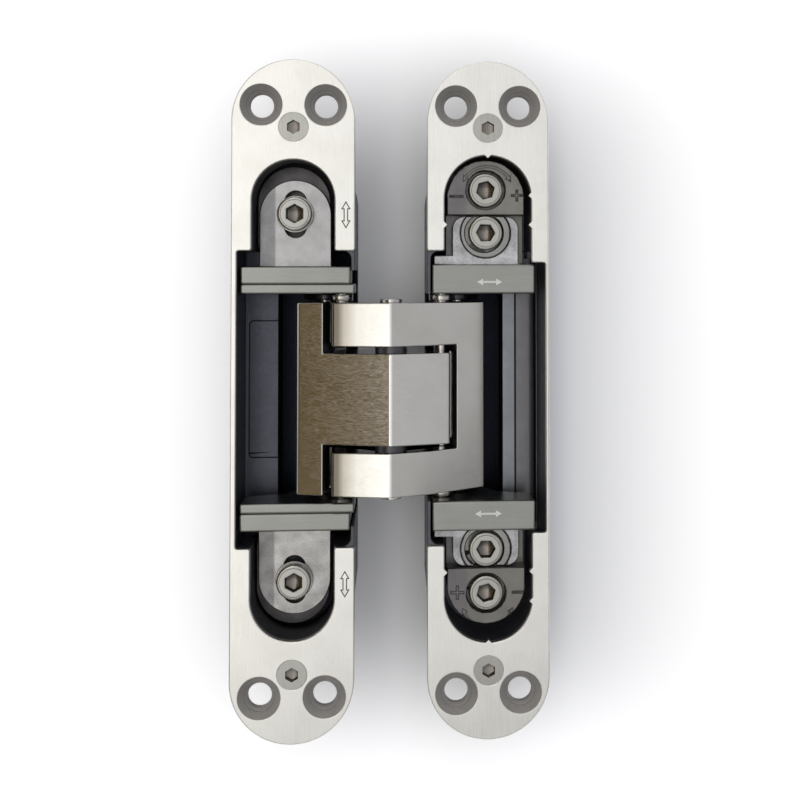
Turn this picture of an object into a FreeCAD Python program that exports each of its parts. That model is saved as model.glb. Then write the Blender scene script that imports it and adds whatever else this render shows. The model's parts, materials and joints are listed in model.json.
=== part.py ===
import FreeCAD, Part
import math
import os
import Sketcher

# Concealed door hinge with two mortised halves and seven pivots, drawn open at 180 degrees on its backs.
# X runs across the two halves, Y along their length and +Z out of the mortises.
# The origin is on the backs of the housings, midway between the halves and midway along them.
# Drops are depths below the top of the cover plates, reaches are distances from the middle of the length.

doc = FreeCAD.newDocument("concealed_hinge")
sheet = doc.addObject("Spreadsheet::Sheet", "sizes")

SIZES = {
    # cover plates and the envelope of the two halves
    "plate_length": 165.0,
    "plate_width": 30.0,
    "plate_gap": 17.4,
    "plate_thick": 1.5,
    "flange_thick": 2.0,
    "flange_inset": 0.2,
    "hinge_depth": 27.0,
    "window_margin": 3.3,
    "far_window_margin": 0.4,
    "window_corner": 0.6,
    "plate_chamfer": 0.25,
    "cut_past_edge": 2.0,
    # slots at the ends of the windows
    "left_slot_width": 20.0,
    "right_slot_width": 21.3,
    "nub_width": 2.0,
    "nub_height": 0.7,
    "nub_root": 0.3,
    # the cast housings
    "opening_wall": 0.8,
    "left_outer_wall": 1.5,
    "right_outer_wall": 0.9,
    "shelf_edge_x": 28.8,
    "shelf_drop": 16.0,
    "floor_thick": 2.0,
    "pocket_corner": 2.0,
    "left_pad_drop": 10.5,
    "right_pad_drop": 14.3,
    "left_mouth_inset": 1.0,
    "right_mouth_inset": 0.1,
    "opening_drop": 22.0,
    "boss_radius": 4.2,
    "boss_depth": 8.0,
    "panel_reach_up": 20.7,
    "panel_reach_down": 15.1,
    "panel_margin": 1.2,
    "panel_recess": 0.6,
    "groove_near_x": 30.0,
    "groove_far_x": 34.9,
    "groove_width": 0.6,
    # mounting holes and the small screws that hold the cover plates
    "mount_spacing_across": 15.6,
    "mount_hole_radius": 2.85,
    "mount_sink_radius": 5.15,
    "plate_screw_head": 3.6,
    "plate_screw_shank": 2.0,
    "plate_screw_length": 8.0,
    "plate_screw_key": 3.0,
    "plate_socket_angle": 30.0,
    "plate_screw_play": 0.05,
    "plate_screw_relief": 0.3,
    # the seven pivots
    "main_pivot_x": 12.5,
    "main_pivot_drop": 8.5,
    "centre_pivot_drop": 0.5,
    "tail_length": 22.0,
    "tail_angle": 40.0,
    "lever_pivot_x": 19.45,
    "lever_pivot_drop": 20.5,
    "lever_length": 6.9,
    "lever_angle": 66.96,
    # layers along the pins, from the middle outwards
    "tongue_reach": 11.0,
    "notch_reach": 12.7,
    "arm_reach": 23.2,
    "layer_gap": 0.3,
    "lever_thick": 1.5,
    # arms
    "arm_end_radius": 15.9,
    "end_gap": 0.5,
    "turning_gap": 0.35,
    "eye_radius": 3.1,
    "hub_radius": 4.4,
    "tail_hub_radius": 3.4,
    "ridge_rise": 4.3,
    "ridge_round": 2.0,
    "tee_corner_round": 1.5,
    "sector_margin": 21.0,
    "sector_span": 61.0,
    "fork_room_angle": 31.0,
    "tee_end_x": 23.5,
    "tee_end_drop": 1.3,
    "tee_tip_rise": 0.3,
    "fork_tip_rise": 1.7,
    "fork_knee_x": 9.2,
    "fork_knee_rise": 0.9,
    "fork_end_x": 23.3,
    "fork_end_drop": 7.5,
    # pins, collars and levers
    "main_pin_radius": 1.75,
    "lever_pin_radius": 1.5,
    "tail_pin_play": 0.65,
    "run_fit": 0.05,
    "seat_fit": 0.01,
    "pin_depth": 5.0,
    "lever_pin_depth": 4.0,
    "pin_chamfer": 0.3,
    "collar_radius": 3.0,
    "washer_radius": 3.85,
    "rivet_head_radius": 2.65,
    "rivet_head_height": 0.9,
    "lever_eye_radius": 3.2,
    # carriers
    "crossbar_drop": 1.0,
    "crossbar_round": 0.6,
    "left_bar_near_x": 9.9,
    "left_bar_far_x": 36.4,
    "left_bar_thick": 4.3,
    "bearing_thick": 2.4,
    "bearing_near_x": 8.9,
    "right_bar_near_x": 10.1,
    "right_bar_far_x": 35.3,
    "right_bar_thick": 7.2,
    "bar_outer_drop": 10.0,
    "bar_waist_x": 27.0,
    "bar_waist_drop": 13.0,
    "bar_inner_drop": 12.5,
    "lug_radius": 3.2,
    "tongue_bury": 1.0,
    # left tongue with its slotted hole and clamp screw
    "left_tongue_width": 17.8,
    "left_tongue_drop": 6.5,
    "slide_gap": 0.02,
    "height_slot_length": 11.5,
    "height_slot_half": 2.6,
    "clamp_washer_radius": 4.6,
    "clamp_washer_thick": 0.7,
    "left_head_height": 2.3,
    "left_socket_angle": 30.0,
    # right tongue, clamp disc and depth block
    "adjuster_x": 23.4,
    "block_shift": 1.3,
    "right_tongue_width": 16.5,
    "right_tongue_drop": 4.0,
    "right_tongue_thick": 4.0,
    "ledge_width": 5.0,
    "ledge_length": 2.2,
    "ledge_inset": 0.5,
    "disc_pocket_radius": 6.3,
    "disc_gap": 0.2,
    "disc_recess": 2.6,
    "recess_radius": 4.75,
    "recess_shift": 0.35,
    "block_width": 19.2,
    "block_drop": 3.4,
    "block_thick": 9.6,
    "step_gap": 0.3,
    "bore_ring": 0.6,
    "right_head_height": 3.2,
    "clamp_socket_angle": 0.0,
    "depth_socket_angle": 15.0,
    "side_travel": 2.0,
    "side_return": 0.3,
    "depth_travel": 1.0,
    "nut_width": 8.0,
    "nut_thick": 2.5,
    "nut_gap": 0.2,
    # M5 screws
    "screw_head_radius": 4.25,
    "screw_shank_radius": 2.5,
    "screw_key": 4.0,
    "socket_depth": 1.8,
    "screw_bite": 6.0,
    "bore_spare": 1.0,
    "head_chamfer": 0.3,
}

# Places along the length, as shares of the room from the right crossbar to the end of a plate.
END_SHARES = {
    "disc": 0.13,
    "nub_near": 0.194,
    "block_step": 0.218,
    "left_screw": 0.25,
    "nub_far": 0.338,
    "depth_screw": 0.342,
    "left_tongue": 0.42,
    "block_far": 0.49,
    "left_slot": 0.51,
    "right_slot": 0.534,
    "body_end": 0.596,
    "plate_screw": 0.668,
    "mount_hole": 0.775,
}
COUNTERSINK_ANGLE = 90.0
HALF_TURN = 180
HEXAGON_STEP = 60
TOUCH = 0.01

for row, (alias, number) in enumerate(SIZES.items(), start=1):
    sheet.set(f"A{row}", alias)
    sheet.set(f"B{row}", str(number))
    sheet.setAlias(f"B{row}", alias)
doc.recompute()


class Size:
    """A length that carries its number and the sheet expression that gives it."""

    def __init__(self, number, text):
        self.number = float(number)
        self.text = text

    def __add__(self, other):
        other = size(other)
        return Size(self.number + other.number, f"({self.text} + {other.text})")

    def __sub__(self, other):
        other = size(other)
        return Size(self.number - other.number, f"({self.text} - {other.text})")

    def __mul__(self, other):
        other = size(other)
        return Size(self.number * other.number, f"({self.text} * {other.text})")

    def __truediv__(self, other):
        other = size(other)
        return Size(self.number / other.number, f"({self.text} / {other.text})")

    def __neg__(self):
        return Size(-self.number, f"(-1 * {self.text})")

    def __radd__(self, other):
        return size(other) + self

    def __rsub__(self, other):
        return size(other) - self

    def __rmul__(self, other):
        return size(other) * self


def size(source):
    """Read a named cell of the sheet, or make a plain factor into a Size."""
    if isinstance(source, Size):
        return source
    if isinstance(source, str):
        return Size(getattr(sheet, source), f"sizes.{source}")
    return Size(source, repr(source))


def root(square):
    return Size(math.sqrt(square.number), f"sqrt({square.text})")


def cosine(angle):
    return Size(math.cos(math.radians(angle.number)), f"cos({angle.text})")


def sine(angle):
    return Size(math.sin(math.radians(angle.number)), f"sin({angle.text})")


def bind(thing, field, length):
    thing.setExpression(field, size(length).text)


# Levels above the backs, and the lines that several pieces share.
TOP = size("hinge_depth")
PLATE_BOTTOM = TOP - size("plate_thick")
FLANGE_BOTTOM = PLATE_BOTTOM - size("flange_thick")
PLATE_X = (size("plate_gap") + size("plate_width")) / 2
OPENING_X = size("plate_gap") / 2
CENTRE_Z = TOP - size("centre_pivot_drop")
MAIN_X = size("main_pivot_x")
MAIN_Z = TOP - size("main_pivot_drop")
CRANK = root(MAIN_X * MAIN_X + (CENTRE_Z - MAIN_Z) * (CENTRE_Z - MAIN_Z))
TAIL_X = size("tail_length") * cosine(size("tail_angle"))
TAIL_Z = CENTRE_Z - size("tail_length") * sine(size("tail_angle"))
LEVER_X = size("lever_pivot_x")
LEVER_Z = TOP - size("lever_pivot_drop")
EYE_X = LEVER_X - size("lever_length") * cosine(size("lever_angle"))
EYE_Z = LEVER_Z + size("lever_length") * sine(size("lever_angle"))
SHOULDER = size("arm_end_radius") + size("end_gap")
SWEEP = CRANK + size("eye_radius") + size("turning_gap")
LEVER_NEAR = size("arm_reach") + size("layer_gap")
LEVER_FAR = LEVER_NEAR + size("lever_thick")
CARRIER_NEAR = LEVER_FAR + size("layer_gap")
BEARING_FAR = CARRIER_NEAR + size("bearing_thick")
LEFT_BAR_FAR = BEARING_FAR + size("left_bar_thick")
RIGHT_BAR_FAR = CARRIER_NEAR + size("right_bar_thick")
WINDOW_REACH = RIGHT_BAR_FAR + size("window_margin")
END_ROOM = size("plate_length") / 2 - RIGHT_BAR_FAR
REACH = {name: RIGHT_BAR_FAR + END_ROOM * share for name, share in END_SHARES.items()}

nodes = []


def new_body(label):
    body = doc.addObject("PartDesign::Body", label)
    body.Label = label
    body.AllowCompound = True
    nodes.append(body)
    doc.recompute()
    return body


def sketch_on(body, role, level):
    """Start a sketch on one of the body's origin planes, moved along its normal by a level."""
    plane = next(item for item in body.Origin.OriginFeatures if item.Role == role)
    sketch = body.newObject("Sketcher::SketchObject", "outline")
    sketch.AttachmentSupport = [(plane, "")]
    sketch.MapMode = "FlatFace"
    bind(sketch, "AttachmentOffset.Base.z", level)
    return sketch


def fix_point(sketch, item, end, across, along):
    """Tie a sketch point to its two coordinates."""
    for kind, length in (("DistanceX", across), ("DistanceY", along)):
        if length is not None:
            index = sketch.addConstraint(Sketcher.Constraint(kind, -1, 1, item, end, length.number))
            bind(sketch, f"Constraints[{index}]", length)


def fix_radius(sketch, item, radius):
    index = sketch.addConstraint(Sketcher.Constraint("Radius", item, radius.number))
    bind(sketch, f"Constraints[{index}]", radius)


def point(across, along):
    return FreeCAD.Vector(across.number, along.number, 0)


def circle(across, along, radius):
    across, along, radius = size(across), size(along), size(radius)

    def draw(sketch):
        ring = Part.Circle(point(across, along), FreeCAD.Vector(0, 0, 1), radius.number)
        item = sketch.addGeometry(ring, False)
        fix_point(sketch, item, 3, across, along)
        fix_radius(sketch, item, radius)
    return draw


def polygon(corners):
    """A closed outline of straight edges through (across, along) corners."""
    corners = [(size(across), size(along)) for across, along in corners]

    def draw(sketch):
        items = []
        for start, end in zip(corners, corners[1:] + corners[:1]):
            items.append(sketch.addGeometry(Part.LineSegment(point(*start), point(*end)), False))
        for item, following in zip(items, items[1:] + items[:1]):
            sketch.addConstraint(Sketcher.Constraint("Coincident", item, 2, following, 1))
        for item, corner in zip(items, corners):
            fix_point(sketch, item, 1, *corner)
    return draw


def box(low_across, low_along, high_across, high_along):
    return polygon([(low_across, low_along), (high_across, low_along),
                    (high_across, high_along), (low_across, high_along)])


def stadium(first, second, radius):
    """Two half circles about the points first and second, joined by tangent lines."""
    first = (size(first[0]), size(first[1]))
    second = (size(second[0]), size(second[1]))
    radius = size(radius)

    def draw(sketch):
        start, end = point(*first), point(*second)
        way = (end - start).normalize()
        turn = math.atan2(way.y, way.x)
        side = FreeCAD.Vector(-way.y, way.x, 0) * radius.number
        up = FreeCAD.Vector(0, 0, 1)
        half = math.pi / 2
        back = Part.ArcOfCircle(Part.Circle(start, up, radius.number), turn + half, turn + 3 * half)
        front = Part.ArcOfCircle(Part.Circle(end, up, radius.number), turn - half, turn + half)
        items = [sketch.addGeometry(back, False)]
        items.append(sketch.addGeometry(Part.LineSegment(start - side, end - side), False))
        items.append(sketch.addGeometry(front, False))
        items.append(sketch.addGeometry(Part.LineSegment(end + side, start + side), False))
        for item, following in zip(items, items[1:] + items[:1]):
            sketch.addConstraint(Sketcher.Constraint("Tangent", item, 2, following, 1))
        fix_point(sketch, items[0], 3, *first)
        fix_point(sketch, items[2], 3, *second)
        fix_radius(sketch, items[0], radius)
    return draw


def sector(centre, radius, first_angle, last_angle):
    """A pie slice about a centre, swept anticlockwise between two angles in degrees."""
    centre = (size(centre[0]), size(centre[1]))
    radius, first_angle, last_angle = size(radius), size(first_angle), size(last_angle)

    def draw(sketch):
        middle = point(*centre)
        ring = Part.Circle(middle, FreeCAD.Vector(0, 0, 1), radius.number)
        arc = Part.ArcOfCircle(ring, math.radians(first_angle.number), math.radians(last_angle.number))
        items = [sketch.addGeometry(Part.LineSegment(middle, arc.StartPoint), False)]
        items.append(sketch.addGeometry(arc, False))
        items.append(sketch.addGeometry(Part.LineSegment(arc.EndPoint, middle), False))
        for item, following in zip(items, items[1:] + items[:1]):
            sketch.addConstraint(Sketcher.Constraint("Coincident", item, 2, following, 1))
        sketch.addConstraint(Sketcher.Constraint("Coincident", items[1], 3, items[0], 1))
        fix_point(sketch, items[1], 3, *centre)
        fix_radius(sketch, items[1], radius)
        fix_point(sketch, items[1], 1, centre[0] + radius * cosine(first_angle), None)
        fix_point(sketch, items[1], 2, centre[0] + radius * cosine(last_angle), None)
    return draw


def add_feature(body, kind, sketch, length):
    feature = body.newObject(kind, kind.split("::")[1].lower())
    feature.Profile = sketch
    bind(feature, "Length", length)
    sketch.Visibility = False
    return feature


def draw_all(sketch, drawings):
    for draw in drawings:
        draw(sketch)


def pad_z(body, low, high, *drawings):
    """Add the drawings between two heights."""
    low, high = size(low), size(high)
    sketch = sketch_on(body, "XY_Plane", low)
    draw_all(sketch, drawings)
    return add_feature(body, "PartDesign::Pad", sketch, high - low)


def cut_z(body, low, high, *drawings):
    """Cut the drawings away between two heights."""
    low, high = size(low), size(high)
    sketch = sketch_on(body, "XY_Plane", high)
    draw_all(sketch, drawings)
    return add_feature(body, "PartDesign::Pocket", sketch, high - low)


def pad_y(body, low, high, *drawings):
    """Add the drawings, given as (x, z), between two places along the length."""
    low, high = size(low), size(high)
    sketch = sketch_on(body, "XZ_Plane", -high)
    draw_all(sketch, drawings)
    return add_feature(body, "PartDesign::Pad", sketch, high - low)


def cut_y(body, low, high, *drawings):
    """Cut the drawings, given as (x, z), away between two places along the length."""
    low, high = size(low), size(high)
    sketch = sketch_on(body, "XZ_Plane", -low)
    draw_all(sketch, drawings)
    return add_feature(body, "PartDesign::Pocket", sketch, high - low)


def span(side, near, far):
    """The low and high ends of a stretch that lies on one side of the middle."""
    near, far = size(near), size(far)
    return (near, far) if side > 0 else (-far, -near)


def dress(body, kind, field, amount, wanted):
    """Round or chamfer the edges of the body that the test picks out."""
    doc.recompute()
    base = body.Tip
    names = [f"Edge{index}" for index, edge in enumerate(base.Shape.Edges, start=1) if wanted(edge)]
    feature = body.newObject(f"PartDesign::{kind}", kind.lower())
    feature.Base = (base, names)
    bind(feature, field, amount)
    doc.recompute()


def lies_at(edge, axis, level):
    """True for an edge that stays at one level along an axis."""
    low = getattr(edge.BoundBox, f"{axis}Min")
    high = getattr(edge.BoundBox, f"{axis}Max")
    return abs(low - level) < TOUCH and abs(high - level) < TOUCH


def runs_along(edge, axis):
    lengths = {"X": edge.BoundBox.XLength, "Y": edge.BoundBox.YLength, "Z": edge.BoundBox.ZLength}
    return all(length < TOUCH for name, length in lengths.items() if name != axis)


def sunk_hole(body, places, radius, sink_radius, level):
    """Countersunk holes straight down from a level."""
    sketch = sketch_on(body, "XY_Plane", level)
    draw_all(sketch, [circle(across, along, radius) for across, along in places])
    doc.recompute()
    hole = body.newObject("PartDesign::Hole", "hole")
    hole.Profile = sketch
    doc.recompute()
    hole.Threaded = False
    hole.DepthType = "ThroughAll"
    hole.HoleCutType = "Countersink"
    hole.HoleCutCustomValues = True
    hole.HoleCutCountersinkAngle = COUNTERSINK_ANGLE
    bind(hole, "Diameter", size(radius) * 2)
    bind(hole, "HoleCutDiameter", size(sink_radius) * 2)
    doc.recompute()


def mount_places(hand):
    across = size("mount_spacing_across") / 2
    return [(hand * PLATE_X + i * across, j * REACH["mount_hole"]) for i in (1, -1) for j in (1, -1)]


def plate_screw_places(hand):
    return [(hand * PLATE_X, side * REACH["plate_screw"]) for side in (1, -1)]


def end_slot(hand):
    """The slot, with round ends, that the adjusters lie in."""
    name = "left" if hand < 0 else "right"
    radius = size(f"{name}_slot_width") / 2
    reach = REACH[f"{name}_slot"] - radius
    return stadium((hand * PLATE_X, -reach), (hand * PLATE_X, reach), radius)


def outer_x(hand):
    """The inner face of the wall that lies away from the other half."""
    wall = size("left_outer_wall") if hand < 0 else size("right_outer_wall")
    return hand * (OPENING_X + size("plate_width") - wall)


def window_box(first_x, last_x, reach):
    edges = sorted((first_x, last_x), key=lambda edge: edge.number)
    return box(edges[0], -reach, edges[1], reach)


def cover_plate(hand):
    name = "left" if hand < 0 else "right"
    body = new_body(f"{name}_plate")
    radius = size("plate_width") / 2
    reach = size("plate_length") / 2 - radius
    pad_z(body, PLATE_BOTTOM, TOP,
          stadium((hand * PLATE_X, -reach), (hand * PLATE_X, reach), radius))
    cut_z(body, PLATE_BOTTOM, TOP, end_slot(hand))
    open_edge = hand * (OPENING_X - size("cut_past_edge"))
    if hand < 0:
        cut_z(body, PLATE_BOTTOM, TOP, window_box(outer_x(hand), open_edge, WINDOW_REACH))
        reaches = [WINDOW_REACH]
    else:
        far_window = RIGHT_BAR_FAR + size("far_window_margin")
        cut_z(body, PLATE_BOTTOM, TOP, window_box(PLATE_X, open_edge, WINDOW_REACH))
        cut_z(body, PLATE_BOTTOM, TOP, window_box(PLATE_X, outer_x(hand), far_window))
        reaches = [WINDOW_REACH, far_window]

    def window_corner(edge):
        at_end = any(abs(abs(edge.CenterOfMass.y) - reach.number) < TOUCH for reach in reaches)
        return runs_along(edge, "Z") and at_end
    dress(body, "Fillet", "Radius", "window_corner", window_corner)
    dress(body, "Chamfer", "Size", "plate_chamfer", lambda edge: lies_at(edge, "Z", TOP.number))
    if hand > 0:
        index_nubs(body)
    sunk_hole(body, mount_places(hand), "mount_hole_radius", "mount_sink_radius", TOP)
    play = size("plate_screw_play")
    sunk_hole(body, plate_screw_places(hand), size("plate_screw_shank") + play,
              size("plate_screw_head") + play, TOP)


def index_nubs(body):
    """Small pointers on the edge of the right slot that show how far an adjuster has moved."""
    half = size("nub_width") / 2
    height = size("nub_height")
    edge = PLATE_X + size("right_slot_width") / 2
    far_edge = PLATE_X - size("right_slot_width") / 2
    buried = size("nub_root")
    for side in (1, -1):
        tip = side * REACH["right_slot"]
        root_y = tip + side * buried
        pad_z(body, PLATE_BOTTOM, TOP, polygon([(PLATE_X - half, root_y), (PLATE_X + half, root_y),
                                                (PLATE_X, tip - side * height)]))
        for name, wall, way in (("nub_near", edge, -1), ("nub_far", edge, -1), ("nub_near", far_edge, 1)):
            middle = side * REACH[name]
            pad_z(body, PLATE_BOTTOM, TOP, polygon([(wall - way * buried, middle - half),
                                                    (wall - way * buried, middle + half),
                                                    (wall + way * height, middle)]))


def housing(hand):
    """The cast body: flange, slot ends with their seats, a shelf and a deep pocket for the arms."""
    name = "left" if hand < 0 else "right"
    body = new_body(f"{name}_housing")
    body_radius = size("plate_width") / 2 - size("flange_inset")
    body_reach = REACH["body_end"] - body_radius
    flange_reach = size("plate_length") / 2 - size("plate_width") / 2
    middle = hand * PLATE_X
    seat = TOP - size(f"{name}_pad_drop")
    window = WINDOW_REACH
    inner = hand * (OPENING_X + size("flange_inset") + size("opening_wall"))
    pad_z(body, 0, FLANGE_BOTTOM, stadium((middle, -body_reach), (middle, body_reach), body_radius))
    pad_z(body, FLANGE_BOTTOM, PLATE_BOTTOM,
          stadium((middle, -flange_reach), (middle, flange_reach), body_radius))
    pad_z(body, FLANGE_BOTTOM - size("boss_depth"), FLANGE_BOTTOM,
          *[circle(across, along, "boss_radius") for across, along in plate_screw_places(hand)])
    cut_z(body, seat, PLATE_BOTTOM, end_slot(hand))
    shelf_x = sorted((outer_x(hand), inner), key=lambda edge: edge.number)
    cut_z(body, TOP - size("shelf_drop"), PLATE_BOTTOM, box(shelf_x[0], -window, shelf_x[1], window))
    deep_x = sorted((hand * size("shelf_edge_x"), inner), key=lambda edge: edge.number)
    cut_z(body, "floor_thick", TOP - size("shelf_drop"), box(deep_x[0], -window, deep_x[1], window))
    bar_face = LEFT_BAR_FAR if hand < 0 else CARRIER_NEAR
    mouth = bar_face - size(f"{name}_mouth_inset")
    mouth_x = sorted((inner, hand * (OPENING_X - size("cut_past_edge"))), key=lambda edge: edge.number)
    cut_z(body, TOP - size("opening_drop"), PLATE_BOTTOM, box(mouth_x[0], -mouth, mouth_x[1], mouth))
    round_pocket(body, window)
    if hand < 0:
        shelf_panel(body)
        reaches = [side * REACH["left_screw"] for side in (1, -1)]
        screw_x = middle
    else:
        shelf_grooves(body)
        reaches = [side * REACH["depth_screw"] + size("block_shift") for side in (1, -1)]
        screw_x = size("adjuster_x")
    bite = size("screw_bite") + size("depth_travel") + size("bore_spare")
    cut_z(body, seat - bite, seat,
          *[circle(screw_x, along, size("screw_shank_radius") + size("run_fit")) for along in reaches])
    cut_z(body, PLATE_BOTTOM - size("plate_screw_length"), PLATE_BOTTOM,
          *[circle(across, along, size("plate_screw_shank") + size("seat_fit"))
            for across, along in plate_screw_places(hand)])
    relief = size("plate_screw_head") + size("plate_screw_play") * 2 - size("plate_thick")
    cut_z(body, PLATE_BOTTOM - size("plate_screw_relief"), PLATE_BOTTOM,
          *[circle(across, along, relief) for across, along in plate_screw_places(hand)])
    sunk_hole(body, mount_places(hand), "mount_hole_radius",
              size("mount_sink_radius") - size("plate_thick"), PLATE_BOTTOM)


def round_pocket(body, window):
    """Round the upright corners at both ends of the deep pocket."""
    def corner(edge):
        at_end = abs(abs(edge.CenterOfMass.y) - window.number) < TOUCH
        deep = edge.BoundBox.ZMin < size("floor_thick").number + TOUCH
        return runs_along(edge, "Z") and at_end and deep
    dress(body, "Fillet", "Radius", "pocket_corner", corner)


def shelf_panel(body):
    """The sunk panel on the shelf of the left housing."""
    shelf = TOP - size("shelf_drop")
    far = outer_x(-1) + size("panel_margin")
    near = -(size("shelf_edge_x") + size("panel_margin") / 2)
    cut_z(body, shelf - size("panel_recess"), shelf,
          box(far, -size("panel_reach_down"), near, "panel_reach_up"))

    def corner(edge):
        upright = runs_along(edge, "Z") and abs(edge.Length - size("panel_recess").number) < TOUCH
        return upright and edge.CenterOfMass.z < shelf.number
    dress(body, "Fillet", "Radius", "pocket_corner", corner)


def shelf_grooves(body):
    """The two fine grooves along the shelf of the right housing."""
    shelf = TOP - size("shelf_drop")
    reach = WINDOW_REACH
    width = size("groove_width")
    for middle in (size("groove_near_x"), size("groove_far_x")):
        cut_z(body, shelf - width, shelf, box(middle - width / 2, -reach, middle + width / 2, reach))


def arm_common(body, tee):
    """Bores, eyes and turning room that the two arms share, as mirror images about the centre pin."""
    hand = 1 if tee else -1
    reach = size("arm_reach")
    tail = -hand * TAIL_X
    pad_y(body, -reach, reach, circle(tail, TAIL_Z, "tail_hub_radius"))
    pad_y(body, -reach, reach, circle(hand * MAIN_X, MAIN_Z, "eye_radius"))
    pad_y(body, -reach, reach, circle(0, CENTRE_Z, "hub_radius"))
    if tee:
        stretches = [span(side, "tongue_reach", reach) for side in (1, -1)]
    else:
        stretches = [(-size("notch_reach"), size("notch_reach"))]
    low_side = (size("sector_margin") + HALF_TURN, size("sector_span") + size("sector_margin") + HALF_TURN)
    high_side = (-size("sector_margin") - size("sector_span"), -size("sector_margin"))
    for low, high in stretches:
        cut_y(body, low, high, circle(0, CENTRE_Z, SHOULDER))
        cut_y(body, low, high, sector((0, CENTRE_Z), SWEEP, *low_side))
        cut_y(body, low, high, sector((0, CENTRE_Z), SWEEP, *high_side))
    main_bore = size("main_pin_radius") + size("run_fit")
    cut_y(body, -reach, reach, circle(hand * MAIN_X, MAIN_Z, main_bore))
    centre_fit = size("run_fit") if tee else size("seat_fit")
    cut_y(body, -reach, reach, circle(0, CENTRE_Z, size("main_pin_radius") + centre_fit))
    cut_y(body, -reach, reach, circle(tail, TAIL_Z, size("lever_pin_radius") + size("seat_fit")))


def end_point(hand, rise):
    """The corner, at a rise above the plates, where an arm's free end meets its round end face."""
    height = TOP + rise
    drop = height - CENTRE_Z
    across = root(size("arm_end_radius") * size("arm_end_radius") - drop * drop)
    return hand * across, height


def lower_end_point(hand):
    """Where the round end face runs into the eye."""
    angle = size("sector_margin")
    return (hand * size("arm_end_radius") * cosine(angle),
            CENTRE_Z - size("arm_end_radius") * sine(angle))


def hub_side(hand, across, height, radius):
    """The point of a hub on the square side of the line from the tail to the centre pin."""
    return (across + hand * size(radius) * sine(size("tail_angle")),
            height - size(radius) * cosine(size("tail_angle")))


def ease_ridge(body):
    """Round the ridge that stands proud of the plates."""
    ridge_z = (TOP + size("ridge_rise")).number
    dress(body, "Fillet", "Radius", "ridge_round", lambda edge: lies_at(edge, "Z", ridge_z))


def t_arm():
    """The arm with a wide tail in the left half and one broad tongue that ends in the right half."""
    body = new_body("t_arm")
    reach = size("arm_reach")
    profile = polygon([
        (-size("tee_end_x"), TOP - size("tee_end_drop")),
        (-(TAIL_X + size("tail_hub_radius")), TAIL_Z),
        hub_side(1, -TAIL_X, TAIL_Z, "tail_hub_radius"),
        hub_side(1, size(0), CENTRE_Z, "hub_radius"),
        (MAIN_X, MAIN_Z - size("eye_radius")),
        lower_end_point(1),
        end_point(1, size("tee_tip_rise")),
        (0, TOP + size("ridge_rise")),
    ])
    pad_y(body, -reach, reach, profile)
    ease_ridge(body)
    tail_end = -size("tee_end_x").number
    dress(body, "Fillet", "Radius", "tee_corner_round", lambda edge: lies_at(edge, "X", tail_end))
    arm_common(body, True)


def fork_arm():
    """The arm with two prongs that end in the left half and a wide tail in the right half."""
    body = new_body("fork_arm")
    reach = size("arm_reach")
    pin_room = size("main_pin_radius") + size("turning_gap")
    room_angle = size("fork_room_angle")
    far_side = CRANK + pin_room
    profile = polygon([
        end_point(-1, size("fork_tip_rise")),
        lower_end_point(-1),
        (-MAIN_X, MAIN_Z - size("eye_radius")),
        hub_side(-1, size(0), CENTRE_Z, "hub_radius"),
        (0, CENTRE_Z - size("hub_radius")),
        (MAIN_X - pin_room, MAIN_Z + size("eye_radius")),
        (far_side * cosine(room_angle), CENTRE_Z - far_side * sine(room_angle)),
        (TAIL_X - size("tail_hub_radius"), TAIL_Z),
        (TAIL_X + size("tail_hub_radius"), TAIL_Z),
        (size("fork_end_x"), TOP - size("fork_end_drop")),
        (size("fork_knee_x"), TOP + size("fork_knee_rise")),
        (0, TOP + size("ridge_rise")),
    ])
    pad_y(body, -reach, reach, profile)
    ease_ridge(body)
    cut_y(body, -reach, reach, circle(MAIN_X, MAIN_Z, pin_room))
    arm_common(body, False)


def straight_pins(label, across, height, radius, stretches):
    """Plain pins along Y, one for each stretch, with chamfered ends."""
    body = new_body(label)
    for low, high in stretches:
        pad_y(body, low, high, circle(across, height, radius))
    ends = [level.number for stretch in stretches for level in stretch]
    dress(body, "Chamfer", "Size", "pin_chamfer",
          lambda edge: any(lies_at(edge, "Y", level) for level in ends))


def rings(label, across, height, outer, inner, near, far):
    """A matching pair of rings, one on each side of the middle."""
    body = new_body(label)
    for side in (1, -1):
        low, high = span(side, near, far)
        pad_y(body, low, high, circle(across, height, outer), circle(across, height, inner))


def centre_pin():
    """The riveted pin at the crossing of the two arms."""
    body = new_body("centre_pin")
    reach = size("arm_reach")
    far = reach + size("rivet_head_height")
    pad_y(body, -reach, reach, circle(0, CENTRE_Z, "main_pin_radius"))
    for side in (1, -1):
        pad_y(body, *span(side, reach, far), circle(0, CENTRE_Z, "rivet_head_radius"))
    dress(body, "Fillet", "Radius", "pin_chamfer",
          lambda edge: any(lies_at(edge, "Y", side * far.number) for side in (1, -1)))


def lever_plate(hand, side):
    """A stamped lever between a carrier and the tail pin of an arm."""
    name = "left" if hand < 0 else "right"
    place = "upper" if side > 0 else "lower"
    body = new_body(f"{name}_lever_{place}")
    low, high = span(side, LEVER_NEAR, LEVER_FAR)
    fixed = (hand * LEVER_X, LEVER_Z)
    free = (hand * EYE_X, EYE_Z)
    pad_y(body, low, high, stadium(fixed, free, "lever_eye_radius"))
    cut_y(body, low, high, circle(*fixed, size("lever_pin_radius") + size("run_fit")))
    cut_y(body, low, high, circle(*free, size("lever_pin_radius") + size("tail_pin_play")))


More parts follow.
